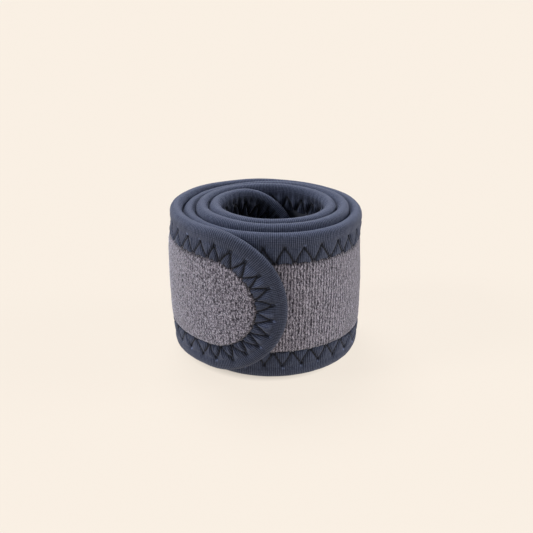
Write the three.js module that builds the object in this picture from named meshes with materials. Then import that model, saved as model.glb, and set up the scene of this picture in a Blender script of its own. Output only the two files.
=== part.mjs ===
// Wrist splint strap, rolled up and closed: a long neoprene strip with round ends, a looped pile cloth on
// its outer face, a knitted lining on its inner face, a folded tape sewn round its whole edge with a zigzag
// stitch, and a hook patch under its outer end that grips the pile of the turn below.
//
// Millimetres, +Z up. The roll stands on one long edge, axis upright, and the origin is on the table
// under the middle of the roll.
// Every piece is first laid out on the flat strap and then wound up:
//   s  runs along the strap from its outer tip,
//   z  runs across it, from the lower edge to the upper one,
//   n  runs through its thickness, from the middle towards the pile.
import * as THREE from "three";

// The strap
const STRAP_WIDTH = 50;
const END_RADIUS = STRAP_WIDTH / 2; // both ends are half round

// The roll
const TIP_RADIUS = 32.85; // from the axis to the middle of the strap, at its outer tip
const LAYER_PITCH = 4.4; // from one turn to the next
const TIP_BEARING = 280.5; // where the outer tip lies, anticlockwise from +X, in degrees
const ROLLED_ANGLE = 1310; // from the outer tip to the inner one, in degrees
const ROLL_AXIS = { x: 1.096, y: 1.112 }; // a spiral's axis is not in the middle of its outline
const FACET_ANGLE = 12; // each turn is made of flats this long, in degrees
const TAB_FACET_ANGLE = 6; // shorter under the hook patch

// The outer end and the inner turns sit a little higher than the turn that stands on the table
const TAB_LIFT = 1.2;
const CORE_LIFT = 1.4;
const TAB_LIFT_ENDS = [90, 200];
const CORE_LIFT_ENDS = [440, 620];

// Places where the outer half turn bends when it is peeled open, in degrees from the outer tip
const TAB_HINGE = 72;
const FOLD_A_HINGE = 120;
const FOLD_B_HINGE = 168;
const HINGE_GAP = 0.2;
const END_TAPE_JOIN = 1212; // the tape round the inner end starts here

// The layers, each from its lower to its upper face through the thickness
const SKIN_GAP = 0.12; // between two layers that are bonded or sewn together
const LINING = [-1.47, -1.07];
const NEOPRENE = [-0.95, 0.65];
const PILE = [0.77, 1.75];

// The edge tape, folded over the edge
const TAPE_THICKNESS = 0.3;
const TAPE_WIDTH = 9.5; // how far each leaf reaches in from the edge
const TAPE_FACE = 1.89; // from the middle of the strap to the outside of either leaf
const TAPE_CHAMFER = 1.1;
const NEOPRENE_INSET = 1.34; // the neoprene fills the fold
const CLOTH_INSET = TAPE_WIDTH + 0.15; // the two cloths fill the window inside the tape

// The zigzag stitch
const THREAD_SIZE = 0.28;
const STITCH_PITCH = 6;
const STITCH_OUTER = 4.7; // the needle's two rows, measured in from the edge
const STITCH_INNER = 9.1;
const STITCHES_ROUND_END = 12;
const STITCH_MARGIN = 0.7; // kept free beside a hinge

// The hook patch, round at the outer end like the strap
const PATCH_THICKNESS = 0.5;
const PATCH_RADIUS = 14.2;
const PATCH_END = 37;
const PATCH_CORNER = 4;
const PATCH_SEAM_INSET = 1.6;

const COLOURS = {
  pile: 0x8f8a90,
  knit: 0x3f4757,
  neoprene: 0x1c1d20,
  thread: 0x14161d,
  hook: 0x2b2d33,
};

const radians = THREE.MathUtils.degToRad;
const smoothstep = THREE.MathUtils.smoothstep;
const PITCH_PER_RADIAN = LAYER_PITCH / (2 * Math.PI);
const STRAP_LENGTH = lengthAt(ROLLED_ANGLE);

// ---------------------------------------------------------------- winding the flat strap into the roll

// The strap's length from its outer tip to a winding angle in degrees.
function lengthAt(angle) {
  const turned = radians(angle);
  return TIP_RADIUS * turned - (PITCH_PER_RADIAN * turned * turned) / 2;
}

// The winding angle in degrees at a length from the outer tip.
function angleAt(s) {
  const turned = (TIP_RADIUS - Math.sqrt(TIP_RADIUS ** 2 - 2 * PITCH_PER_RADIAN * s)) / PITCH_PER_RADIAN;
  return THREE.MathUtils.radToDeg(turned);
}

// How far the strap sits above the table at a winding angle.
function liftAt(angle) {
  const tab = TAB_LIFT * (1 - smoothstep(angle, ...TAB_LIFT_ENDS));
  const inner = CORE_LIFT * smoothstep(angle, ...CORE_LIFT_ENDS);
  return tab + inner;
}

// A point of the flat strap, in its place on the roll.
function wind(s, z, n) {
  const angle = angleAt(s);
  const bearing = radians(TIP_BEARING - angle);
  const r = TIP_RADIUS - PITCH_PER_RADIAN * radians(angle) + n;
  const x = ROLL_AXIS.x + r * Math.cos(bearing);
  const y = ROLL_AXIS.y + r * Math.sin(bearing);
  return new THREE.Vector3(x, y, z + liftAt(angle));
}

// ---------------------------------------------------------------- closed solids from rings of points

// Joins equal rings of points, one after the other, and closes both ends with the ring's own outline.
function loft(rings, outline, closed = false) {
  const count = outline.length;
  const positions = rings.flat().flatMap((p) => [p.x, p.y, p.z]);
  const index = [];
  const spans = closed ? rings.length : rings.length - 1;
  for (let i = 0; i < spans; i++) {
    const a = i * count;
    const b = ((i + 1) % rings.length) * count;
    for (let j = 0; j < count; j++) {
      const k = (j + 1) % count;
      index.push(a + j, b + j, b + k, a + j, b + k, a + k);
    }
  }
  if (!closed) {
    const last = (rings.length - 1) * count;
    for (const [p, q, r] of THREE.ShapeUtils.triangulateShape(outline, [])) {
      index.push(p, q, r, last + p, last + r, last + q);
    }
  }
  const geometry = new THREE.BufferGeometry();
  geometry.setAttribute("position", new THREE.Float32BufferAttribute(positions, 3));
  geometry.setIndex(facingOut(positions, index));
  geometry.computeVertexNormals();
  return geometry;
}

// The same triangles, turned round if they enclose a negative volume.
function facingOut(positions, index) {
  const corner = (i) => new THREE.Vector3().fromArray(positions, 3 * index[i]);
  let volume = 0;
  for (let i = 0; i < index.length; i += 3) {
    volume += corner(i).dot(corner(i + 1).cross(corner(i + 2)));
  }
  return volume > 0 ? index : index.reverse();
}

// ---------------------------------------------------------------- flat layers: lining, neoprene and pile

// Places along the strap where a layer between two winding angles has a cross-section, with its half width
// there. A half-round end gets sections at equal turns of its arc, the rest at each facet of the roll.
function layerStations(fromAngle, toAngle, inset) {
  const radius = END_RADIUS - inset;
  const outerEnd = fromAngle === 0;
  const innerEnd = toAngle === ROLLED_ANGLE;
  const start = outerEnd ? END_RADIUS : lengthAt(fromAngle) + HINGE_GAP / 2;
  const end = innerEnd ? STRAP_LENGTH - END_RADIUS : lengthAt(toAngle) - HINGE_GAP / 2;
  return [
    ...(outerEnd ? roundStations(start, radius, -1) : [{ s: start, half: radius }]),
    ...facetsBetween(start, end).map((s) => ({ s, half: radius })),
    ...(innerEnd ? roundStations(end, radius, 1).reverse() : [{ s: end, half: radius }]),
  ];
}

// The sections of a half-round end, from just inside its tip to its centre. side is -1 at the outer end.
function roundStations(centre, radius, side) {
  const step = 10;
  return Array.from({ length: 90 / step }, (_, i) => {
    const a = radians(step * (i + 1));
    return { s: centre + side * radius * Math.cos(a), half: radius * Math.sin(a) };
  });
}

// The facet edges of the roll that lie between two lengths.
function facetsBetween(start, end) {
  const found = [];
  for (let angle = 0; angle < ROLLED_ANGLE; angle += angle < TAB_HINGE ? TAB_FACET_ANGLE : FACET_ANGLE) {
    const s = lengthAt(angle);
    if (s > start + 1 && s < end - 1) found.push(s);
  }
  return found;
}

// A flat piece with its stations' widths, wound up between two heights through the thickness.
function plate(stations, low, high) {
  const corners = [
    [-1, low],
    [1, low],
    [1, high],
    [-1, high],
  ];
  const rings = stations.map(({ s, half }) =>
    corners.map(([side, n]) => wind(s, STRAP_WIDTH / 2 + side * half, n)),
  );
  return loft(rings, corners.map(([side, n]) => new THREE.Vector2(side, n)));
}

function layer(heights, fromAngle, toAngle, inset) {
  return plate(layerStations(fromAngle, toAngle, inset), ...heights);
}

// ---------------------------------------------------------------- the strap's edge, as a path

// A place on the flat strap's edge, with the direction that leads inwards from it.
function edgePoint(s, z, inS, inZ) {
  return { at: (inward) => [s + inS * inward, z + inZ * inward] };
}

const upperEdge = (s) => edgePoint(s, STRAP_WIDTH, 0, -1);
const lowerEdge = (s) => edgePoint(s, 0, 0, 1);

// A place on a half-round end. side is -1 at the outer end and 1 at the inner one, and turned goes
// from 0 at the upper edge to 180 degrees at the lower edge.
function roundEdge(side, turned) {
  const centre = side < 0 ? END_RADIUS : STRAP_LENGTH - END_RADIUS;
  const out = [side * Math.sin(radians(turned)), Math.cos(radians(turned))];
  return edgePoint(centre + END_RADIUS * out[0], END_RADIUS + END_RADIUS * out[1], -out[0], -out[1]);
}

// The edge from a winding angle, along the upper edge, round an end and back along the lower edge.
function edgeRoundEnd(side, fromAngle) {
  const start = lengthAt(fromAngle) + (side * HINGE_GAP) / 2;
  const centre = side < 0 ? END_RADIUS : STRAP_LENGTH - END_RADIUS;
  const facets = facetsBetween(Math.min(start, centre), Math.max(start, centre));
  const outward = side < 0 ? facets.toReversed() : facets;
  const run = [start, ...outward];
  const turns = Array.from({ length: 19 }, (_, i) => i * 10);
  return [
    ...run.map(upperEdge),
    ...turns.map((turned) => roundEdge(side, turned)),
    ...run.toReversed().map(lowerEdge),
  ];
}

// A straight stretch of one edge between two winding angles.
function straightEdge(edge, fromAngle, toAngle) {
  const start = lengthAt(fromAngle) + HINGE_GAP / 2;
  const end = lengthAt(toAngle) - HINGE_GAP / 2;
  return [start, ...facetsBetween(start, end), end].map(edge);
}

// ---------------------------------------------------------------- the folded edge tape

const TAPE_SECTION = tapeSection();

// The tape's cross-section: inwards from the edge, and through the thickness.
function tapeSection() {
  const outerFold = TAPE_FACE - TAPE_CHAMFER;
  const innerFace = TAPE_FACE - TAPE_THICKNESS;
  const innerFold = outerFold - TAPE_THICKNESS * (Math.SQRT2 - 1);
  const innerCorner = TAPE_THICKNESS + innerFace - innerFold;
  const upper = [
    [TAPE_WIDTH, TAPE_FACE],
    [TAPE_CHAMFER, TAPE_FACE],
    [0, outerFold],
  ];
  const upperInside = [
    [TAPE_THICKNESS, innerFold],
    [innerCorner, innerFace],
    [TAPE_WIDTH, innerFace],
  ];
  const mirrored = (points) => points.toReversed().map(([inward, n]) => [inward, -n]);
  const points = [...upper, ...mirrored(upper), ...mirrored(upperInside), ...upperInside];
  return points.map(([inward, n]) => new THREE.Vector2(inward, n));
}

function edgeTape(path) {
  const rings = path.map((edge) => TAPE_SECTION.map((p) => wind(...edge.at(p.x), p.y)));
  return loft(rings, TAPE_SECTION);
}

// ---------------------------------------------------------------- stitches

// A thread along points of the flat strap, pinned flat on the face at height n, with mitred corners.
function thread(points, n, closed = false) {
  const profile = [
    [-0.5, -0.5],
    [0.5, -0.5],
    [0, 0.5],
  ];
  const rings = points.map(([s, z], i) => {
    const before = points[i - 1] ?? (closed ? points.at(-1) : null);
    const after = points[i + 1] ?? (closed ? points[0] : null);
    const arriving = before && new THREE.Vector2(s - before[0], z - before[1]).normalize();
    const leaving = after && new THREE.Vector2(after[0] - s, after[1] - z).normalize();
    const first = arriving ?? leaving;
    const second = leaving ?? arriving;
    const side = new THREE.Vector2(-first.y - second.y, first.x + second.x).normalize();
    const mitre = mitreAt(side, first);
    return profile.map(([across, up]) => {
      const shift = across * THREAD_SIZE * mitre;
      return wind(s + side.x * shift, z + side.y * shift, n + up * THREAD_SIZE);
    });
  });
  return loft(rings, profile.map(([x, y]) => new THREE.Vector2(x, y)), closed);
}

// How much wider a mitred corner is than the thread.
function mitreAt(side, direction) {
  return 1 / Math.abs(side.x * -direction.y + side.y * direction.x);
}

const STITCH_FACE = TAPE_FACE + SKIN_GAP + THREAD_SIZE / 2;

// The zigzag on a run of places along the edge, which starts and ends in the inner row.
function zigzag(places) {
  const points = places.map((edge, i) => edge.at(i % 2 ? STITCH_OUTER : STITCH_INNER));
  return thread(points, STITCH_FACE);
}

// An even number of equal steps from one length to another.
function stitchRun(edge, start, end) {
  const steps = 2 * Math.round(Math.abs(end - start) / STITCH_PITCH);
  return Array.from({ length: steps + 1 }, (_, i) => edge(start + ((end - start) * i) / steps));
}

function zigzagRoundEnd(side, hingeAngle) {
  const hinge = lengthAt(hingeAngle) + side * STITCH_MARGIN;
  const centre = side < 0 ? END_RADIUS : STRAP_LENGTH - END_RADIUS;
  const steps = 2 * STITCHES_ROUND_END;
  const round = Array.from({ length: steps + 1 }, (_, i) => roundEdge(side, (180 * i) / steps));
  return zigzag([
    ...stitchRun(upperEdge, hinge, centre).slice(0, -1),
    ...round,
    ...stitchRun(lowerEdge, centre, hinge).slice(1),
  ]);
}

function zigzagStraight(edge, fromAngle, toAngle) {
  return zigzag(stitchRun(edge, lengthAt(fromAngle) + STITCH_MARGIN, lengthAt(toAngle) - STITCH_MARGIN));
}

// ---------------------------------------------------------------- the hook patch

const PATCH_FACE = LINING[0] - SKIN_GAP;

function hookPatch() {
  const round = roundStations(END_RADIUS, PATCH_RADIUS, -1);
  const back = PATCH_END - PATCH_CORNER;
  const flats = facetsBetween(END_RADIUS, back).map((s) => ({ s, half: PATCH_RADIUS }));
  const corner = [0, 30, 60, 90].map(radians).map((a) => ({
    s: back + PATCH_CORNER * Math.sin(a),
    half: PATCH_RADIUS - PATCH_CORNER + PATCH_CORNER * Math.cos(a),
  }));
  return plate([...round, ...flats, ...corner], PATCH_FACE - PATCH_THICKNESS, PATCH_FACE);
}

// A straight lock stitch just inside the patch's edge, in short lengths so that it bends with the roll.
function patchSeam() {
  const radius = PATCH_RADIUS - PATCH_SEAM_INSET;
  const end = PATCH_END - PATCH_SEAM_INSET;
  const middle = STRAP_WIDTH / 2;
  const arc = Array.from({ length: 13 }, (_, i) => {
    const a = radians(90 + 15 * i);
    return [END_RADIUS + radius * Math.cos(a), middle + radius * Math.sin(a)];
  });
  const across = [-1, 1].flatMap((side) => [[end - 2, side], [end, side * 0.86]]);
  const [nearLow, farLow, nearHigh, farHigh] = across.map(([s, side]) => [s, middle + side * radius]);
  const along = (z, steps) => steps.map((share) => [END_RADIUS + share * (end - 2 - END_RADIUS), z]);
  return thread(
    [
      ...arc,
      ...along(nearLow[1], [1 / 3, 2 / 3]),
      nearLow,
      farLow,
      farHigh,
      nearHigh,
      ...along(nearHigh[1], [2 / 3, 1 / 3]),
    ],
    PATCH_FACE - PATCH_THICKNESS - SKIN_GAP - THREAD_SIZE / 2,
    true,
  );
}

// ---------------------------------------------------------------- assembly

const MATERIALS = {
  pile: new THREE.MeshStandardMaterial({ color: COLOURS.pile, roughness: 0.95, metalness: 0 }),
  knit: new THREE.MeshStandardMaterial({ color: COLOURS.knit, roughness: 0.75, metalness: 0 }),
  neoprene: new THREE.MeshStandardMaterial({ color: COLOURS.neoprene, roughness: 0.9, metalness: 0 }),
  thread: new THREE.MeshStandardMaterial({ color: COLOURS.thread, roughness: 0.6, metalness: 0 }),
  hook: new THREE.MeshStandardMaterial({ color: COLOURS.hook, roughness: 0.7, metalness: 0 }),
};

function node(name, geometry, material) {
  const mesh = new THREE.Mesh(geometry, MATERIALS[material]);
  mesh.name = name;
  return mesh;
}

function layers(prefix, fromAngle, toAngle) {
  return [
    node(`${prefix}_lining`, layer(LINING, fromAngle, toAngle, CLOTH_INSET), "knit"),
    node(`${prefix}_neoprene`, layer(NEOPRENE, fromAngle, toAngle, NEOPRENE_INSET), "neoprene"),
    node(`${prefix}_pile`, layer(PILE, fromAngle, toAngle, CLOTH_INSET), "pile"),
  ];
}

// The outer end, which carries the hook patch.
function makeTab() {
  const tab = new THREE.Group();
  tab.add(
    ...layers("tab", 0, TAB_HINGE),
    node("tab_edge_tape", edgeTape(edgeRoundEnd(-1, TAB_HINGE)), "knit"),
    node("tab_zigzag_thread", zigzagRoundEnd(-1, TAB_HINGE), "thread"),
    node("hook_patch", hookPatch(), "hook"),
    node("hook_patch_seam", patchSeam(), "thread"),
  );
  return tab;
}

function straightTapes(prefix, fromAngle, toAngle) {
  return [
    node(`${prefix}_upper_tape`, edgeTape(straightEdge(upperEdge, fromAngle, toAngle)), "knit"),
    node(`${prefix}_lower_tape`, edgeTape(straightEdge(lowerEdge, fromAngle, toAngle)), "knit"),
  ];
}

// A short stretch of strap between two hinges.
function makeFold(prefix, fromAngle, toAngle) {
  const fold = new THREE.Group();
  fold.add(
    ...layers(prefix, fromAngle, toAngle),
    ...straightTapes(prefix, fromAngle, toAngle),
    node(`${prefix}_upper_zigzag`, zigzagStraight(upperEdge, fromAngle, toAngle), "thread"),
    node(`${prefix}_lower_zigzag`, zigzagStraight(lowerEdge, fromAngle, toAngle), "thread"),
  );
  return fold;
}

// The rest of the strap, from the last hinge to the inner tip.
function makeCoil() {
  const coil = new THREE.Group();
  coil.add(
    ...layers("coil", FOLD_B_HINGE, ROLLED_ANGLE),
    ...straightTapes("coil", FOLD_B_HINGE, END_TAPE_JOIN),
    node("inner_end_tape", edgeTape(edgeRoundEnd(1, END_TAPE_JOIN)), "knit"),
    node("coil_zigzag_thread", zigzagRoundEnd(1, FOLD_B_HINGE), "thread"),
  );
  return coil;
}

const splint = new THREE.Group();
splint.add(
  makeTab(),
  makeFold("fold_a", TAB_HINGE, FOLD_A_HINGE),
  makeFold("fold_b", FOLD_A_HINGE, FOLD_B_HINGE),
  makeCoil(),
);

export default splint;
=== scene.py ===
import math

import bpy
import numpy as np
from mathutils import Matrix, Vector


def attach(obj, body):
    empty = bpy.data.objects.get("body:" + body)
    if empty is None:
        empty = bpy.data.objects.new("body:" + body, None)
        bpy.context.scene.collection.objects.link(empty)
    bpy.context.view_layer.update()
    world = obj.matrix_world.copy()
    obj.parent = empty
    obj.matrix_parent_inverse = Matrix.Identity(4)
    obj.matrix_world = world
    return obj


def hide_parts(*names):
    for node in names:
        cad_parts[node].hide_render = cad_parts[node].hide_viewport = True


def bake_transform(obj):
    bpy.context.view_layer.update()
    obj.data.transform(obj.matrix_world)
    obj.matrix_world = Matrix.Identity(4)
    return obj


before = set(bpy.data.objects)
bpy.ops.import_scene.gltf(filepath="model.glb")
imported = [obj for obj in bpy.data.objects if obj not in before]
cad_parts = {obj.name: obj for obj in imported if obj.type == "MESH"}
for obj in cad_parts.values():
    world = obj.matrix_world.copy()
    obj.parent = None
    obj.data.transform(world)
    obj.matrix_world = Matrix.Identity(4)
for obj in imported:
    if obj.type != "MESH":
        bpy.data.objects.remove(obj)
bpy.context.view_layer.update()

# ---------------------------------------------------------------- camera
# A normal lens, held above the roll and tilted some 23 degrees down at it.

camera = bpy.data.objects.new("camera", bpy.data.cameras.new("camera"))
bpy.context.scene.collection.objects.link(camera)
camera.location = (0.001096, -0.20531, 0.1151)
camera.rotation_euler = (
    Matrix.Rotation(math.radians(66.67), 4, "X") @ Matrix.Rotation(math.radians(0.806), 4, "Z")
).to_euler()
camera.data.lens = 42.66
camera.data.sensor_width = 36
camera.data.shift_x = -0.0043
camera.data.shift_y = 0.0048
camera.data.clip_start = 0.01
camera.data.clip_end = 100
bpy.context.scene.camera = camera

# ---------------------------------------------------------------- foam core
# The strap's body is a strip of neoprene foam with half-round ends, 50 mm wide with its tape. It is cut flat,
# and every other layer is bonded or sewn to it before the strap is rolled up, so each piece below is laid out flat
# (along the strap, across it, through it) and then wound.

WIDTH = 0.050
TIP_TURN = math.radians(280.5)  # where the outer tip lies
TIP_RADIUS = 0.03285
TURN_PITCH = 0.0044  # one turn to the next
NARROWING = TURN_PITCH / (2 * math.pi)
WHOLE_TURN = math.radians(1310)  # from the outer tip to the inner one
LENGTH = TIP_RADIUS * WHOLE_TURN - NARROWING * WHOLE_TURN**2 / 2
ROLL_AXIS = (0.001096, 0.001112)

# The strap bends at three places when its outer end is peeled open, so it is made in four lengths.
STRETCHES = {
    "tab": (0.0, 0.0427),
    "fold_a": (0.0427, 0.0722),
    "fold_b": (0.0722, 0.0958),
    "coil": (0.0958, LENGTH),
}


def ease(value, start, end):
    share = np.clip((value - start) / (end - start), 0, 1)
    return share * share * (3 - 2 * share)


def wound(along, across, through):
    """Points of the flat strap, in their place on the roll."""
    turned = (TIP_RADIUS - np.sqrt(TIP_RADIUS**2 - 2 * NARROWING * along)) / NARROWING
    bearing = TIP_TURN - turned
    radius = TIP_RADIUS - NARROWING * turned + through
    degrees = np.degrees(turned)
    # The strap stands a little higher at its outer end, and again in its inner turns.
    lift = 0.0012 * (1 - ease(degrees, 60, 330)) + 0.0014 * ease(degrees, 440, 620)
    # The outer turn isn't pulled quite tight: it swells out at the left and, lower down, at the right, and the
    # tab's lower corner is drawn up.
    left = 0.0013 * ease(degrees, 20, 85) * (1 - ease(degrees, 120, 190)) * np.interp(
        across, [0.004, 0.012, 0.025, 0.038, 0.044], [0, 0.8, 1, 0.9, 0]
    )
    right = 0.0015 * ease(degrees, 215, 280) * (1 - ease(degrees, 300, 352)) * np.interp(
        across, [0, 0.003, 0.010, 0.025, 0.042], [0.4, 0.7, 1, 0.75, 0]
    )
    radius = radius + left + right
    lift = lift + 0.0014 * (1 - ease(across, 0.0, 0.025)) * (1 - ease(along, 0.026, 0.05))
    return np.stack(
        [ROLL_AXIS[0] + radius * np.cos(bearing), ROLL_AXIS[1] + radius * np.sin(bearing), across + lift], axis=-1
    )


def points_of(piece):
    found = np.empty(3 * len(piece.data.vertices))
    piece.data.vertices.foreach_get("co", found)
    return found.reshape(-1, 3)


def move_points(piece, points):
    piece.data.vertices.foreach_set("co", points.ravel())
    piece.data.update()


def choose(piece):
    """Selects one piece and nothing else."""
    bpy.ops.object.select_all(action="DESELECT")
    piece.select_set(True)
    bpy.context.view_layer.objects.active = piece


def outline(stretch, step, inset):
    """Lengths along a stretch, and half the width there of a strip that is cut inset from the strap's edge."""
    start, end = STRETCHES[stretch]
    radius = WIDTH / 2 - inset
    first = WIDTH / 2 if stretch == "tab" else start
    last = LENGTH - WIDTH / 2 if stretch == "coil" else end
    lengths = np.linspace(first, last, math.ceil((last - first) / step) + 1)
    halves = np.full(len(lengths), radius)
    turns = np.radians(np.linspace(5, 90, math.ceil(radius * 1.5 / step) + 1))[:-1]
    if stretch == "tab":
        lengths = np.concatenate([first - radius * np.cos(turns), lengths])
        halves = np.concatenate([radius * np.sin(turns), halves])
    if stretch == "coil":
        lengths = np.concatenate([lengths, last + radius * np.cos(turns[::-1])])
        halves = np.concatenate([halves, radius * np.sin(turns[::-1])])
    return lengths, halves


def cut_strip(name, lengths, halves, columns, face, thickness):
    """A flat strip with its outer side at one height, cut to shape and thickened towards the roll's axis."""
    bpy.ops.object.select_all(action="DESELECT")
    bpy.ops.mesh.primitive_grid_add(x_subdivisions=len(lengths) - 1, y_subdivisions=columns, size=1)
    strip = bpy.context.object
    strip.name = strip.data.name = name
    points = points_of(strip)
    row = np.rint((points[:, 0] + 0.5) * (len(lengths) - 1)).astype(int)
    points[:, 0] = lengths[row]
    points[:, 1] = WIDTH / 2 + 2 * points[:, 1] * halves[row]
    points[:, 2] = face
    move_points(strip, points)
    lay_out_uv(strip, points[:, :2])
    solid = strip.modifiers.new("thickness", "SOLIDIFY")
    solid.thickness = thickness
    solid.offset = -1
    bpy.ops.object.modifier_apply(modifier=solid.name)
    return strip


def lay_out_uv(piece, places):
    """The piece's own UV map, in centimetres along it and across it."""
    corners = np.empty(len(piece.data.loops), int)
    piece.data.loops.foreach_get("vertex_index", corners)
    layer = piece.data.uv_layers.active or piece.data.uv_layers.new(name="UVMap")
    layer.data.foreach_set("uv", (100 * places[corners]).astype(np.float32).ravel())


def mark(piece, name, values):
    """A number at each point of a piece, for its material."""
    piece.data.attributes.new(name, "FLOAT", "POINT").data.foreach_set("value", values.astype(np.float32))


def wind(piece):
    """Rolls up a flat piece. Winding mirrors it, so its faces are turned round again."""
    move_points(piece, wound(*points_of(piece).T))
    piece.data.flip_normals()
    choose(piece)
    bpy.ops.object.shade_smooth_by_angle(angle=math.radians(60))
    return piece


def fasten(piece, stretch, finish, *nodes):
    """Puts a wound piece in place of its plain solids, which it hides. A piece of the coil is hung on the coil's body
    so it moves with it; the others stay where they are.
    """
    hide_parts(*nodes)
    if stretch == "coil":
        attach(piece, "coil")
    else:
        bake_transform(piece)


def material(name, roughness, sheen=0.0, sheen_colour=(1, 1, 1), sheen_roughness=0.5):
    made = bpy.data.materials.new(name)
    made.use_nodes = True
    shader = made.node_tree.nodes["Principled BSDF"]
    shader.inputs["Roughness"].default_value = roughness
    shader.inputs["Sheen Weight"].default_value = sheen
    shader.inputs["Sheen Tint"].default_value = (*sheen_colour, 1)
    shader.inputs["Sheen Roughness"].default_value = sheen_roughness
    shader.inputs["Specular IOR Level"].default_value = 0.25
    return made, made.node_tree.nodes, made.node_tree.links, shader


def cloth_places(nodes, links, scale=(1, 1, 1)):
    """Where a point lies on the cloth, from its own UV map."""
    where = nodes.new("ShaderNodeUVMap")
    where.uv_map = "UVMap"
    stretch = nodes.new("ShaderNodeMapping")
    stretch.inputs["Scale"].default_value = scale
    links.new(where.outputs["UV"], stretch.inputs["Vector"])
    return stretch.outputs["Vector"]


def texture(nodes, links, kind, place, **settings):
    """A pattern at the given places, with its sockets set by name."""
    made = nodes.new("ShaderNodeTex" + kind)
    for name, value in settings.items():
        made.inputs[name.replace("_", " ").title()].default_value = value
    links.new(place, made.inputs["Vector"])
    return made


def mixed(nodes, links, first, second, share=0.5):
    """Two patterns in one, with so much of the second."""
    made = nodes.new("ShaderNodeMix")
    made.inputs["Factor"].default_value = share
    links.new(first, made.inputs["A"])
    links.new(second, made.inputs["B"])
    return made


def ramp(nodes, links, value, *stops):
    made = nodes.new("ShaderNodeValToRGB")
    made.color_ramp.elements[0].position, made.color_ramp.elements[0].color = stops[0][0], (*stops[0][1], 1)
    made.color_ramp.elements[1].position, made.color_ramp.elements[1].color = stops[-1][0], (*stops[-1][1], 1)
    for place, colour in stops[1:-1]:
        made.color_ramp.elements.new(place).color = (*colour, 1)
    links.new(value, made.inputs["Fac"])
    return made.outputs["Color"]


def shaded(nodes, links, shader):
    """A socket for the cloth's colour, times the painted light and shade that is marked on the piece."""
    marked = nodes.new("ShaderNodeAttribute")
    marked.attribute_name = "shade"
    scaled = nodes.new("ShaderNodeVectorMath")
    scaled.operation = "SCALE"
    links.new(marked.outputs["Fac"], scaled.inputs["Scale"])
    links.new(scaled.outputs["Vector"], shader.inputs["Base Color"])
    return scaled.inputs[0]


def raise_by(nodes, links, shader, height, distance, strength=1.0):
    bump = nodes.new("ShaderNodeBump")
    bump.inputs["Distance"].default_value = distance
    bump.inputs["Strength"].default_value = strength
    links.new(height, bump.inputs["Height"])
    links.new(bump.outputs["Normal"], shader.inputs["Normal"])


foam, nodes, links, shader = material("neoprene_foam", roughness=0.9)
cells = texture(nodes, links, "Voronoi", cloth_places(nodes, links), scale=30)
links.new(
    ramp(nodes, links, cells.outputs["Distance"], (0.0, (0.006, 0.006, 0.008)), (0.7, (0.016, 0.017, 0.021))),
    shader.inputs["Base Color"],
)
raise_by(nodes, links, shader, cells.outputs["Distance"], distance=0.0001)

for stretch in STRETCHES:
    lengths, halves = outline(stretch, step=0.0015, inset=0.00134)
    core = cut_strip(f"{stretch}_foam_core", lengths, halves, columns=16, face=0.00065, thickness=0.0016)
    wind(core)
    core.data.materials.append(foam)
    fasten(core, stretch, "neoprene", f"{stretch}_neoprene")

# ---------------------------------------------------------------- lining
# A smooth knitted lining faces the skin. It is bonded to the foam's inner side, and its border goes under
# the edge tape. Rolled up, it is pushed together a little, so it creases across the strap.

CLOTH_INSET = 0.00915  # how far in from the strap's edge its two cloths end, under the tape


def unevenness(along, across, size, seed):
    """The gentle unevenness of handmade cloth, from about -1 to 1, with lumps of one size."""
    dice = np.random.default_rng(seed)
    total = 0
    for _ in range(7):
        heading, length, phase = dice.uniform(0, 2 * math.pi), size * dice.uniform(0.7, 1.8), dice.uniform(0, 7)
        ahead = along * math.cos(heading) + across * math.sin(heading)
        total = total + np.sin(2 * math.pi * ahead / length + phase)
    return total / 4


def from_edge(along, across):
    """How far a point of the flat strap lies in from the strap's edge."""
    centre = np.clip(along, WIDTH / 2, LENGTH - WIDTH / 2)
    return WIDTH / 2 - np.hypot(along - centre, across - WIDTH / 2)


knit, nodes, links, shader = material(
    "lining_knit", roughness=0.8, sheen=0.35, sheen_colour=(0.75, 0.8, 1.0), sheen_roughness=0.4
)
wales = texture(nodes, links, "Wave", cloth_places(nodes, links), scale=7, distortion=0.6)
links.new(
    ramp(nodes, links, wales.outputs["Fac"], (0.1, (0.018, 0.021, 0.030)), (0.9, (0.042, 0.047, 0.062))),
    shader.inputs["Base Color"],
)
raise_by(nodes, links, shader, wales.outputs["Fac"], distance=0.00008)

for stretch in STRETCHES:
    lengths, halves = outline(stretch, step=0.0008, inset=CLOTH_INSET)
    lining = cut_strip(f"{stretch}_lining_cloth", lengths, halves, columns=30, face=-0.00107, thickness=0.0004)
    flat = points_of(lining)
    inside = flat[:, 2] < -0.0012
    tucked = 1 - ease(from_edge(flat[:, 0], flat[:, 1]), 0.0092, 0.0104)
    creased = 0.00006 * unevenness(flat[:, 0] * 3, flat[:, 1] * 0.4, 0.006, 3)
    flat[:, 2] += inside * (0.00037 * tucked + creased * (1 - tucked))
    move_points(lining, flat)
    wind(lining)
    lining.data.materials.append(knit)
    fasten(lining, stretch, "lining", f"{stretch}_lining")

# ---------------------------------------------------------------- looped pile
# A brushed cloth of fine standing loops covers the foam's outer side, and takes the hook patch anywhere
# along the strap. It is soft and springy: it swells a little in the middle and tucks in under the tape.

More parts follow.
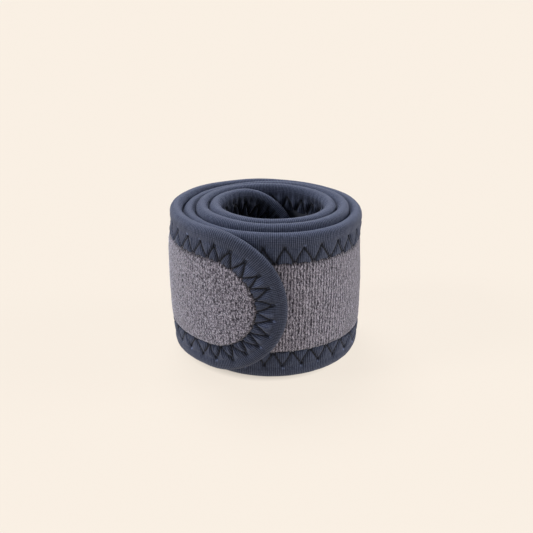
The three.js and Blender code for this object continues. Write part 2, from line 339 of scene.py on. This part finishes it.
pile_cloth, nodes, links, shader = material(
    "looped_pile", roughness=0.95, sheen=1.0, sheen_colour=(0.84, 0.85, 1.0), sheen_roughness=0.30
)
columns = texture(
    nodes,
    links,
    "Wave",
    cloth_places(nodes, links, (1.0, 0.5, 1.0)),
    scale=3.2,
    distortion=7.0,
    detail=3.0,
    detail_scale=3.5,
    detail_roughness=0.7,
)
tangle = texture(nodes, links, "Noise", cloth_places(nodes, links), scale=44, detail=2)
pushed = nodes.new("ShaderNodeVectorMath")
pushed.operation = "MULTIPLY_ADD"
pushed.inputs[1].default_value = (0.05, 0.05, 0.0)
links.new(tangle.outputs["Color"], pushed.inputs[0])
links.new(cloth_places(nodes, links, (1.0, 0.62, 1.0)), pushed.inputs[2])
loops = texture(nodes, links, "Voronoi", pushed.outputs["Vector"], scale=26, randomness=0.8)
loops.feature = "SMOOTH_F1"
loops.inputs["Smoothness"].default_value = 0.25
crowns = nodes.new("ShaderNodeMapRange")
crowns.inputs["From Min"].default_value = 0.75
crowns.inputs["From Max"].default_value = 0.10
links.new(loops.outputs["Distance"], crowns.inputs["Value"])
rowed = nodes.new("ShaderNodeAttribute")
rowed.attribute_name = "rows"
looseness = nodes.new("ShaderNodeMath")  # the loops lie in rows along the coil and more loosely on the tab
looseness.operation = "MULTIPLY_ADD"
looseness.inputs[1].default_value = -0.30
looseness.inputs[2].default_value = 0.80
links.new(rowed.outputs["Fac"], looseness.inputs[0])
nap = mixed(nodes, links, columns.outputs["Fac"], crowns.outputs["Result"])
links.new(looseness.outputs[0], nap.inputs["Factor"])
fibres = mixed(nodes, links, nap.outputs["Result"], tangle.outputs["Fac"], share=0.35)
# The dark between the loops is partly the loops' darker roots and partly painted shade, standing in for the shadow
# deep in the pile.
links.new(
    ramp(
        nodes,
        links,
        fibres.outputs["Result"],
        (0.26, (0.028, 0.027, 0.038)),
        (0.50, (0.236, 0.220, 0.276)),
        (0.74, (0.660, 0.630, 0.750)),
    ),
    shaded(nodes, links, shader),
)
raise_by(nodes, links, shader, fibres.outputs["Result"], distance=0.0006)

SHOWN_LENGTH = 0.29  # beyond this length the turns round it hide the outer face

for stretch in STRETCHES:
    fine = 0.00035 if stretch == "tab" else 0.0005
    lengths, halves = outline(stretch, step=fine, inset=CLOTH_INSET)
    if stretch == "coil":  # coarser where the turns round it hide it
        shown = np.arange(len(lengths))[lengths < SHOWN_LENGTH]
        hidden = np.arange(len(lengths))[lengths >= SHOWN_LENGTH][::3]
        kept = np.union1d(np.concatenate([shown, hidden]), [len(lengths) - 1])
        lengths, halves = lengths[kept], halves[kept]
    across_count = round((WIDTH - 2 * CLOTH_INSET) / fine / 1.1)
    pile = cut_strip(f"{stretch}_pile_cloth", lengths, halves, across_count, face=0.00175, thickness=0.00098)
    flat = points_of(pile)
    outside = flat[:, 2] > 0.0012
    inward = from_edge(flat[:, 0], flat[:, 1])
    ragged = inward + 0.0003 * unevenness(flat[:, 0], flat[:, 1], 0.0022, 19)
    tucked = 1 - ease(inward, 0.0091, 0.0108)
    swollen = 0.00012 * ease(inward, 0.0095, 0.019)
    ruffled = 0.00007 * unevenness(flat[:, 0], flat[:, 1], 0.0016, 5) + 0.00006 * unevenness(
        flat[:, 0], flat[:, 1], 0.006, 6
    )
    flat[:, 2] += outside * ((swollen + ruffled) * (1 - tucked) - 0.00072 * tucked**2)
    move_points(pile, flat)
    # Painted shade: the pile is darkened along its ragged border, where it tucks in under the tape.
    mark(pile, "shade", 1 - 0.85 * (1 - ease(ragged, 0.0093, 0.0104)))
    mark(pile, "rows", ease(flat[:, 0], 0.10, 0.15))
    wind(pile)
    pile.data.materials.append(pile_cloth)
    fasten(pile, stretch, "pile", f"{stretch}_pile")

# ---------------------------------------------------------------- edge tape
# One stretch knit tape, 23 mm wide, is folded over the strap's whole edge, with a 9.5 mm leaf on each face.
# Its fold is a soft round bead. The zigzag stitch pulls it down along each leg and it stands up between.

STITCH = 0.0059  # one zigzag along the edge
HOLE_FAR, HOLE_NEAR = 0.0047, 0.0091  # the needle's two rows, in from the edge
JOG = 0.06  # half the short step between two zigzags at the near row, as a share of one
LEAF = 0.0095
END_STITCHES = 12  # zigzags round the outer end
INNER_PHASE = (LENGTH - WIDTH) / STITCH  # zigzags along one straight edge
INNER_STITCHES = 12 + 2 * (math.ceil(INNER_PHASE) - INNER_PHASE)


def edge_place(run, count, inward):
    """A point in from the strap's edge, where the sewing has reached a count of zigzags."""
    count, inward = np.broadcast_arrays(np.asarray(count, float), inward)
    if run in ("upper", "lower"):
        return WIDTH / 2 + STITCH * count, inward if run == "lower" else WIDTH - inward
    if run == "tab":
        turn = math.pi * np.clip(count / END_STITCHES, 0, 1)
        beyond = np.maximum(-count, 0) + np.maximum(count - END_STITCHES, 0)
        centre, side = WIDTH / 2 + STITCH * beyond, -1
    else:
        turn = math.pi * np.clip((count - INNER_PHASE) / INNER_STITCHES, 0, 1)
        beyond = np.maximum(INNER_PHASE - count, 0) + np.maximum(count - INNER_PHASE - INNER_STITCHES, 0)
        centre, side = LENGTH - WIDTH / 2 - STITCH * beyond, 1
    radius = WIDTH / 2 - inward
    return centre + side * radius * np.sin(turn), WIDTH / 2 + radius * np.cos(turn)


# Neighbouring stitches differ a little: how far each zigzag's tip is off its place, along the edge and in from
# it, how far each of its two legs bows sideways, and how its knot and its folds turn out.
STITCH_DICE = np.random.default_rng(8).uniform(-1, 1, (400, 6))


def dice_of(count):
    return STITCH_DICE[np.floor(count).astype(int) % len(STITCH_DICE)]


def tip_of(count):
    """A zigzag's tip, as a share of the zigzag, and its distance in from the edge."""
    off = dice_of(count)
    return 0.5 + 0.08 * off[..., 0], HOLE_FAR + 0.00038 * off[..., 1]


def legs_at(count, share):
    """Where a zigzag's two legs are along the edge, as shares of the zigzag, a share of their way to its tip."""
    off = dice_of(count)
    tip, bow = tip_of(count)[0], np.sin(math.pi * share)
    out_leg = JOG + (tip - JOG) * share + 0.06 * off[..., 2] * bow
    back_leg = 1 - JOG - (1 - JOG - tip) * share + 0.06 * off[..., 3] * bow
    return out_leg, back_leg


def close_to(distance, reach):
    """1 at a place, and fading to 0 some two reaches away from it."""
    return np.exp(-((distance / reach) ** 2))


TAPE_TOP = 0.00208  # from the strap's middle to the outside of the tape, where nothing pulls it down


def tape_height(count, inward, inner_leaf, gathered=0):
    """From the strap's middle to the outside of the tape, and the painted shade on it: darker in the stitch grooves,
    needle holes and creases, paler at painted highlights on the knots and some gathers.
    """
    count, inward = np.broadcast_arrays(np.asarray(count, float), inward)
    dice = dice_of(count)
    share_along = count % 1
    tip, far = tip_of(count)
    up, down = legs_at(count, np.clip((HOLE_NEAR - inward) / (HOLE_NEAR - far), 0, 1))
    off_leg = STITCH * 0.86 * np.minimum(np.abs(share_along - up), np.abs(share_along - down))
    past_tip = (share_along - tip) * STITCH
    folded = np.minimum(share_along, 1 - share_along)
    off_root = np.hypot((folded - JOG) * STITCH, inward - HOLE_NEAR)

    stitched = ease(inward, HOLE_FAR - 0.0007, HOLE_FAR + 0.0004)
    groove = close_to(off_leg, 0.00060 if inner_leaf else 0.00042) * stitched
    pillow = (1 - close_to(off_leg, 0.0009)) * stitched
    hole = close_to(np.hypot(past_tip, inward - far), 0.00045 + 0.00022 * gathered)
    hole = hole + 0.6 * close_to(off_root, 0.0005)
    pull = close_to(past_tip, 0.0011) * close_to(inward - 0.0042, 0.0012)
    knot = close_to(past_tip - 0.0004 * dice[..., 4], 0.00034) * close_to(inward - far + 0.00085, 0.00034)
    knot = knot * np.clip(0.45 + 0.65 * dice[..., 5], 0, 1)
    creases = 0
    for slope in (-0.55, 0.15, 0.7):  # short creases run out from each tip towards the edge
        line = past_tip - (slope + 0.3 * dice[..., 4]) * (far - inward)
        creases = creases + close_to(line, 0.00026)
    creases = creases * ease(inward, far - 0.0024, far - 0.0003) * (1 - ease(inward, far, far + 0.0006))

    depth = 0.00060 if inner_leaf else 0.00038
    height = TAPE_TOP - 0.00030 * ease(inward, 0.0026, 0.0050) - 0.00030 * ease(inward, 0.0080, 0.0095)
    height = height - depth * groove - 0.00036 * hole + 0.00024 * knot - 0.00020 * pull - 0.00010 * creases
    height = height + (0.00030 + 0.00012 * np.where(share_along < tip, dice[..., 4], dice[..., 5])) * pillow
    # Round the outer end the tape's border is gathered, so it stands up more between the legs.
    gathers = pillow * (0.00032 + 0.00018 * np.cos(6 * math.pi * share_along)) * ease(inward, 0.0042, 0.0062)
    height = height + gathered * (gathers - 0.00024 * pull)
    if inner_leaf:  # the inner leaf is pushed together, so it stands in folds, the more so in the innermost turn
        tight = ease(np.abs(count - INNER_PHASE - INNER_STITCHES / 2), 26, 19)
        bunched = np.cos(4 * math.pi * share_along + 0.9 * dice[..., 2]) * (1 + 0.4 * dice[..., 3])
        height = height + (0.00012 + 0.00030 * tight) * bunched * ease(inward, 0.0020, 0.0045)
        height = height + 0.0004 * tight * pillow
        # Painted shade: the innermost turn's inner leaf is darkened, the more so in the hollows between its folds.
        dark = 0.6 * groove + hole + tight * (0.42 + 0.35 * ease(-bunched, 0.1, 0.9))
        return height, np.clip(dark, 0, 0.95)
    # Painted highlights: the knots are painted pale, as glints, and so are the tops of some gathers.
    pillow_highlight = np.clip(0.5 + 0.5 * dice[..., 2], 0, 1) * (1 - ease(inward, 0.0075, 0.0090))
    # Painted shade in the stitches' grooves, needle holes and creases.
    dark = np.clip(0.55 * groove + 1.1 * hole + 0.35 * creases, 0, 0.97)
    return height, dark - 4.5 * knot - gathered * 0.9 * pillow * pillow_highlight


# The tape's section: down the outer leaf, round the fold, up the inner leaf, and back along the hidden side.
fold_turns = np.radians(np.linspace(90, -90, 15)[1:-1])
BEAD = 0.0027  # how far in the fold is rounded
leaf_out, leaf_in = np.linspace(LEAF, BEAD, 25), np.linspace(BEAD, LEAF, 15)
back_leaf, back_turns = np.array([LEAF, 0.0065, 0.0042, 0.0024]), np.radians([-60, -25, 25, 60])
SECTION = (
    [("outer", inward) for inward in leaf_out]
    + [("fold", turn) for turn in fold_turns]
    + [("inner", inward) for inward in leaf_in]
    + [("inner_back", inward) for inward in back_leaf]
    + [("fold_back", turn) for turn in back_turns]
    + [("outer_back", inward) for inward in back_leaf[::-1]]
)


def gathering(run, count):
    return ease(count, -1, 1) * (1 - ease(count, END_STITCHES - 1, END_STITCHES + 1)) * (run == "tab")


def fold_tape(name, run, counts):
    """A flat tape, folded over one run of the strap's edge and sewn down, with a row at each count of zigzags."""
    bpy.ops.object.select_all(action="DESELECT")
    bpy.ops.mesh.primitive_grid_add(x_subdivisions=len(counts) - 1, y_subdivisions=len(SECTION), size=1)
    tape = bpy.context.object
    tape.name = tape.data.name = name
    points = points_of(tape)
    row = np.rint((points[:, 0] + 0.5) * (len(counts) - 1)).astype(int)
    column = np.rint((points[:, 1] + 0.5) * len(SECTION)).astype(int) % len(SECTION)
    count = counts[row]
    gathered = gathering(run, count)
    inward, through, across, painted_light_and_shade = np.zeros((4, len(points)))
    for index, (part, value) in enumerate(SECTION):
        here = column == index
        if part in ("outer", "inner"):
            side = 1 if part == "outer" else -1
            scallop = 0.00034 * np.cos(2 * math.pi * count[here])
            scallop = scallop + 0.00012 * unevenness(count[here] * STITCH, 0, 0.004, 23)
            inward[here] = value + scallop * ease(value, 0.0088, LEAF)
            height, painted_light_and_shade[here] = tape_height(count[here], value, side < 0, gathered[here])
            through[here] = side * height
            across[here] = side * (value + 0.0013)
        elif part == "fold":
            top = tape_height(count[here], BEAD, value < 0)[0]
            inward[here] = BEAD * (1 - math.cos(value) ** 0.8)
            through[here] = math.copysign(abs(math.sin(value)) ** 0.8, value) * top
            across[here] = 0.0040 * value / (math.pi / 2)
        elif part == "fold_back":
            inward[here] = 0.0024 - 0.0018 * math.cos(value)
            through[here] = 0.0014 * math.sin(value)
        else:
            side = 1 if part == "outer_back" else -1
            inward[here] = value
            through[here] = side * (0.00108 + 0.0004 * (1 - ease(value, 0.0024, 0.0042)))
    along, over = edge_place(run, count, inward)
    wander = 0.00010 * unevenness(along, over * 0.2, 0.022, 17)
    over = over + wander * np.where(over > WIDTH / 2, 1, 0.3) * (1 - ease(inward, 0.002, 0.009))
    through = through + 0.00004 * unevenness(along, over, 0.004, 11) * np.sign(through)
    move_points(tape, np.stack([along, over, through], axis=-1))
    lay_out_uv(tape, np.stack([count * STITCH, across], axis=-1))
    # The shade marked on the tape is painted light and shade: darker in grooves, holes and creases, paler at the
    # painted highlights.
    mark(tape, "shade", (1 - painted_light_and_shade) * (1 - 0.18 * gathered))  # painted shade: the tape is made darker round the outer end
    bpy.ops.object.mode_set(mode="EDIT")
    bpy.ops.mesh.select_all(action="SELECT")
    bpy.ops.mesh.remove_doubles(threshold=0.000001)
    bpy.ops.mesh.fill_holes(sides=0)
    bpy.ops.mesh.select_all(action="SELECT")
    bpy.ops.mesh.normals_make_consistent(inside=False)
    bpy.ops.object.mode_set(mode="OBJECT")
    return tape


def counts_between(first, last, steps):
    """Counts of zigzags from one place to another, so many to each zigzag."""
    inside = np.arange(math.floor(first * steps) + 1, math.ceil(last * steps)) / steps
    inside = inside[(inside > first + 0.02) & (inside < last - 0.02)]
    return np.concatenate([[first], inside, [last]])


tape_knit, nodes, links, shader = material(
    "edge_tape_knit", roughness=0.75, sheen=0.2, sheen_colour=(0.72, 0.78, 1.0), sheen_roughness=0.4
)
place = cloth_places(nodes, links)
ribs = texture(nodes, links, "Wave", place, scale=5.3, distortion=1.3, detail=3.0, detail_scale=3.0)
rows = texture(nodes, links, "Wave", place, scale=6.8, distortion=2.0, detail=2.0)
rows.bands_direction = "Y"
fuzz = texture(nodes, links, "Noise", cloth_places(nodes, links, (1.0, 0.3, 1.0)), scale=24, detail=4)
weave = mixed(nodes, links, ribs.outputs["Fac"], rows.outputs["Fac"], share=0.3)
surface = mixed(nodes, links, weave.outputs["Result"], fuzz.outputs["Fac"], share=0.45)
links.new(
    ramp(
        nodes,
        links,
        surface.outputs["Result"],
        (0.22, (0.009, 0.014, 0.032)),
        (0.50, (0.032, 0.041, 0.078)),
        (0.78, (0.088, 0.106, 0.168)),
    ),
    shaded(nodes, links, shader),
)
raise_by(nodes, links, shader, surface.outputs["Result"], distance=0.00024)

# The coil's tape runs along the upper edge, round the inner end and back. It has more rows to a zigzag where it
# is in sight: on the outer turn, and inside the innermost one.
coil_start = (STRETCHES["coil"][0] - WIDTH / 2) / STITCH
coil_end = INNER_PHASE + INNER_STITCHES + (LENGTH - WIDTH / 2 - STRETCHES["coil"][0]) / STITCH
outer_part = (0.215 - WIDTH / 2) / STITCH  # a little past the first turn
innermost = INNER_PHASE + INNER_STITCHES / 2
inner_part = 2 * INNER_PHASE + INNER_STITCHES - outer_part
COIL_PARTS = [(coil_start, 16), (outer_part, 6), (innermost - 27, 14), (innermost, 6), (inner_part, 12)]
coil_ends = [first for first, _ in COIL_PARTS[1:]] + [coil_end]
coil_counts = np.concatenate(
    [counts_between(first, last, steps)[:-1] for (first, steps), last in zip(COIL_PARTS, coil_ends)] + [[coil_end]]
)
to_fold = (STRETCHES["tab"][1] - WIDTH / 2) / STITCH
FOLD_RUNS = [
    (stretch, run, *((end - WIDTH / 2) / STITCH for end in STRETCHES[stretch]))
    for stretch in ("fold_a", "fold_b")
    for run in ("upper", "lower")
]
TAPE_RUNS = [
    ("tab_edge_tape_cloth", "tab", "tab", counts_between(-to_fold, END_STITCHES + to_fold, 24), ["tab_edge_tape"]),
    ("coil_edge_tape_cloth", "coil", "coil", coil_counts, ["coil_upper_tape", "coil_lower_tape", "inner_end_tape"]),
]
for stretch, run, first, last in FOLD_RUNS:
    node = f"{stretch}_{run}_tape"
    TAPE_RUNS.append((f"{node}_cloth", stretch, run, counts_between(first, last, 16), [node]))

for name, stretch, run, counts, plain in TAPE_RUNS:
    tape = fold_tape(name, run, counts)
    wind(tape)
    tape.data.materials.append(tape_knit)
    fasten(tape, stretch, "edge_tape", *plain)

# ---------------------------------------------------------------- sewing threads
# Two polyester threads lock together through the tape: the needle's zigzag shows on the outer face and the
# bobbin's on the inner face. Each leg lies on the tape and dips into a needle hole at either end.

THREAD = 0.00025
LEG_SHARES = np.array([0, 0.08, 0.2, 0.36, 0.52, 0.68, 0.82, 0.93, 1.0])


def laid_thread(name, places, radius, closed=False):
    """A round thread through the given places."""
    line = bpy.data.curves.new(name, "CURVE")
    line.dimensions = "3D"
    line.bevel_depth = radius
    line.bevel_resolution = 1
    line.use_fill_caps = not closed
    spline = line.splines.new("POLY")
    spline.use_cyclic_u = closed
    spline.points.add(len(places) - 1)
    spline.points.foreach_set("co", np.column_stack([places, np.ones(len(places))]).astype(np.float32).ravel())
    thread = bpy.data.objects.new(name, line)
    bpy.context.scene.collection.objects.link(thread)
    choose(thread)
    bpy.ops.object.convert(target="MESH")
    thread = bpy.context.object
    thread.name = thread.data.name = name
    return thread


def sew(name, run, first, last, inner_leaf):
    """The zigzag thread on one leaf of the tape, between two counts of zigzags."""
    whole = np.arange(math.floor(first) - 1, math.ceil(last) + 1)[:, None]
    out_leg, back_leg = legs_at(whole, LEG_SHARES)
    down = HOLE_NEAR - (HOLE_NEAR - tip_of(whole)[1]) * LEG_SHARES
    counts = (whole + np.hstack([out_leg, back_leg[:, -2::-1]])).ravel()
    inward = np.hstack([down, down[:, -2::-1]]).ravel()
    ends = np.interp([first, last], counts, inward)
    kept = (counts > first + 0.005) & (counts < last - 0.005)
    counts = np.concatenate([[first], counts[kept], [last]])
    inward = np.concatenate([[ends[0]], inward[kept], [ends[1]]])
    off_hole = np.minimum(np.abs(inward - HOLE_NEAR), np.abs(inward - tip_of(counts)[1]))
    dip = 0.00030 * close_to(off_hole, 0.0003)
    height = tape_height(counts, inward, inner_leaf, gathering(run, counts))[0] + 0.00010 - dip
    along, over = edge_place(run, counts, inward)
    return laid_thread(name, np.stack([along, over, height * (-1 if inner_leaf else 1)], axis=-1), THREAD / 2)


polyester, nodes, links, shader = material("sewing_thread", roughness=0.6, sheen=0.05, sheen_colour=(0.8, 0.85, 1.0))
twist = texture(nodes, links, "Noise", nodes.new("ShaderNodeTexCoord").outputs["Object"], scale=6000)
links.new(
    ramp(nodes, links, twist.outputs["Fac"], (0.3, (0.003, 0.003, 0.005)), (0.7, (0.010, 0.011, 0.017))),
    shader.inputs["Base Color"],
)
raise_by(nodes, links, shader, twist.outputs["Fac"], distance=0.00004)

THREAD_RUNS = [
    ("tab", "tab", -to_fold, END_STITCHES + to_fold, "tab_zigzag_thread"),
    ("coil", "coil", coil_counts[0], coil_counts[-1], "coil_zigzag_thread"),
]
for stretch, run, first, last in FOLD_RUNS:
    THREAD_RUNS.append((stretch, run, first, last, f"{stretch}_{run}_zigzag"))

for stretch, run, first, last, node in THREAD_RUNS:
    needle = wind(sew(node.replace("_thread", "") + "_needle_thread", run, first, last, False))
    needle.data.materials.append(polyester)
    fasten(needle, stretch, "thread", node)
    bobbin = wind(sew(node.replace("_thread", "") + "_bobbin_thread", run, first, last, True))
    bobbin.data.materials.append(polyester)
    fasten(bobbin, stretch, "thread")

# ---------------------------------------------------------------- hook patch
# A thin moulded nylon plate of small hooks, round at its outer end like the strap, is sewn under the tab and
# grips the pile of the turn below.

nylon, nodes, links, shader = material("moulded_nylon", roughness=0.45)
grain = texture(nodes, links, "Noise", nodes.new("ShaderNodeTexCoord").outputs["Object"], scale=900)
links.new(
    ramp(nodes, links, grain.outputs["Fac"], (0.3, (0.014, 0.015, 0.018)), (0.7, (0.030, 0.032, 0.038))),
    shader.inputs["Base Color"],
)
raise_by(nodes, links, shader, grain.outputs["Fac"], distance=0.00003)

PATCH_HALF, PATCH_BACK, PATCH_CORNER, PATCH_FACE = 0.0142, 0.037, 0.004, -0.00159
turns = np.radians(np.linspace(5, 90, 24))
corner = np.radians(np.linspace(0, 85, 8))
patch_lengths = np.concatenate(
    [
        WIDTH / 2 - PATCH_HALF * np.cos(turns),
        np.linspace(WIDTH / 2, PATCH_BACK - PATCH_CORNER, 9)[1:],
        PATCH_BACK - PATCH_CORNER + PATCH_CORNER * np.sin(corner[1:]),
    ]
)
patch_halves = np.concatenate(
    [PATCH_HALF * np.sin(turns), np.full(8, PATCH_HALF), PATCH_HALF - PATCH_CORNER * (1 - np.cos(corner[1:]))]
)
PATCH_THICKNESS = 0.0003
patch = cut_strip("hook_patch_plate", patch_lengths, patch_halves, 24, PATCH_FACE, PATCH_THICKNESS)

# One hook: a short five-sided stem that leans over at its top.
bpy.ops.mesh.primitive_cylinder_add(vertices=5, radius=0.00009, depth=0.00022, location=(0, 0, -0.00011))
hook = bpy.context.object
bpy.ops.object.transform_apply(location=True, rotation=True, scale=True)
for lean, shrink in ((30, 0.9), (75, 0.85), (75, 0.6)):
    bpy.ops.object.mode_set(mode="EDIT")
    bpy.ops.mesh.select_all(action="DESELECT")
    bpy.ops.mesh.select_mode(type="FACE")
    bpy.ops.object.mode_set(mode="OBJECT")
    lowest = max(hook.data.polygons, key=lambda face: (len(face.vertices) == 5) * (1 + face.normal.x - face.normal.z))
    lowest.select = True
    bpy.ops.object.mode_set(mode="EDIT")
    step = (0.00011 * math.sin(math.radians(lean)), 0, -0.00011 * math.cos(math.radians(lean)))
    bpy.ops.mesh.extrude_region_move(TRANSFORM_OT_translate={"value": step})
    bpy.ops.transform.resize(value=(shrink, shrink, shrink))
    bpy.ops.object.mode_set(mode="OBJECT")
hook_points = points_of(hook)
spots = [
    (along, WIDTH / 2 + over)
    for row, along in enumerate(np.arange(0.0125, 0.0355, 0.0011))
    for over in np.arange(-0.0121 + 0.0005 * (row % 2), 0.0122, 0.0011)
    if from_edge(np.array(along), np.array(WIDTH / 2 + over)) > WIDTH / 2 - PATCH_HALF + 0.0022
]
copies = []
for index, (along, over) in enumerate(spots):
    copy = hook.copy()
    copy.data = hook.data.copy()
    bpy.context.scene.collection.objects.link(copy)
    facing = np.array([1 if index % 2 else -1, 1, 1])
    move_points(copy, hook_points * facing + np.array([along, over, PATCH_FACE - PATCH_THICKNESS]))
    if index % 2 == 0:
        copy.data.flip_normals()
    copies.append(copy)
bpy.data.objects.remove(hook)
choose(patch)
for copy in copies:
    copy.select_set(True)
bpy.ops.object.join()
wind(patch)
patch.data.materials.clear()
patch.data.materials.append(nylon)
fasten(patch, "tab", "hook", "hook_patch")

# Its seam: a straight lock stitch just inside the plate's edge, about 2.4 mm to a stitch.
seam_half, seam_back = PATCH_HALF - 0.0016, PATCH_BACK - 0.0016
arc = np.radians(np.linspace(90, 270, 17))
seam_line = [(WIDTH / 2 + seam_half * math.cos(a), seam_half * math.sin(a)) for a in arc]
seam_line += [(s, -seam_half) for s in np.linspace(WIDTH / 2, seam_back - 0.002, 5)[1:]]
seam_line += [(seam_back, over) for over in np.linspace(-0.86 * seam_half, 0.86 * seam_half, 10)]
seam_line += [(s, seam_half) for s in np.linspace(seam_back - 0.002, WIDTH / 2, 5)[:-1]]
places = []
for (s1, z1), (s2, z2) in zip(seam_line, seam_line[1:] + seam_line[:1]):
    for share, rise in ((0, 0.00012), (0.15, -0.0001), (0.5, -0.00014), (0.85, -0.0001)):
        height = PATCH_FACE - PATCH_THICKNESS + rise
        places.append((s1 + share * (s2 - s1), WIDTH / 2 + z1 + share * (z2 - z1), height))
seam_thread = laid_thread("hook_patch_seam_thread", places, 0.00014, closed=True)
wind(seam_thread)
seam_thread.data.materials.append(polyester)
fasten(seam_thread, "tab", "thread", "hook_patch_seam")

# ---------------------------------------------------------------- floor and light
# A plain pale floor runs out to pale walls, under a dimmer ceiling. A wide soft light comes from above and
# behind, and a weaker one from each side.

bpy.ops.object.select_all(action="DESELECT")
bpy.ops.mesh.primitive_plane_add(size=60)
floor = bpy.context.object
floor.name = "floor"
paper, nodes, links, shader = material("pale_paper", roughness=1.0)
shader.inputs["Base Color"].default_value = (0.066, 0.060, 0.053, 1)
shader.inputs["Emission Color"].default_value = (0.947, 0.863, 0.766, 1)
glow = nodes.new("ShaderNodeMapRange")  # painted shadow: the floor's glow fades out under the roll and in its bore
glow.inputs["From Min"].default_value = 0.021
glow.inputs["From Max"].default_value = 0.031
glow.inputs["To Min"].default_value = 0.03
glow.inputs["To Max"].default_value = 0.893
spot = nodes.new("ShaderNodeTexCoord")
reach = nodes.new("ShaderNodeVectorMath")
reach.operation = "LENGTH"
links.new(spot.outputs["Object"], reach.inputs[0])
links.new(reach.outputs["Value"], glow.inputs["Value"])
links.new(glow.outputs["Result"], shader.inputs["Emission Strength"])
shader.inputs["Specular IOR Level"].default_value = 0.0
floor.data.materials.append(paper)

world = bpy.data.worlds.new("studio")
bpy.context.scene.world = world
world.use_nodes = True
nodes, links = world.node_tree.nodes, world.node_tree.links
heading = nodes.new("ShaderNodeTexCoord")
height = nodes.new("ShaderNodeSeparateXYZ")
links.new(heading.outputs["Generated"], height.inputs[0])
links.new(
    ramp(nodes, links, height.outputs["Z"], (0.25, (0.947, 0.868, 0.778)), (0.42, (0.12, 0.13, 0.15))),
    nodes["Background"].inputs["Color"],
)


def soft_light(name, place, strength, spread):
    lamp = bpy.data.lights.new(name, "SUN")
    lamp.energy = strength
    lamp.angle = math.radians(spread)
    lamp.color = (0.96, 0.97, 1.0)
    holder = bpy.data.objects.new(name, lamp)
    bpy.context.scene.collection.objects.link(holder)
    holder.rotation_euler = Vector(place).to_track_quat("Z", "Y").to_euler()


soft_light("top_back_light", (-0.20, 0.50, 1.0), 3.4, 30)
soft_light("left_light", (-1.0, -0.24, 0.60), 1.9, 16)
soft_light("right_light", (1.0, 0.10, 0.45), 1.7, 25)

bpy.context.scene.view_settings.view_transform = "Standard"
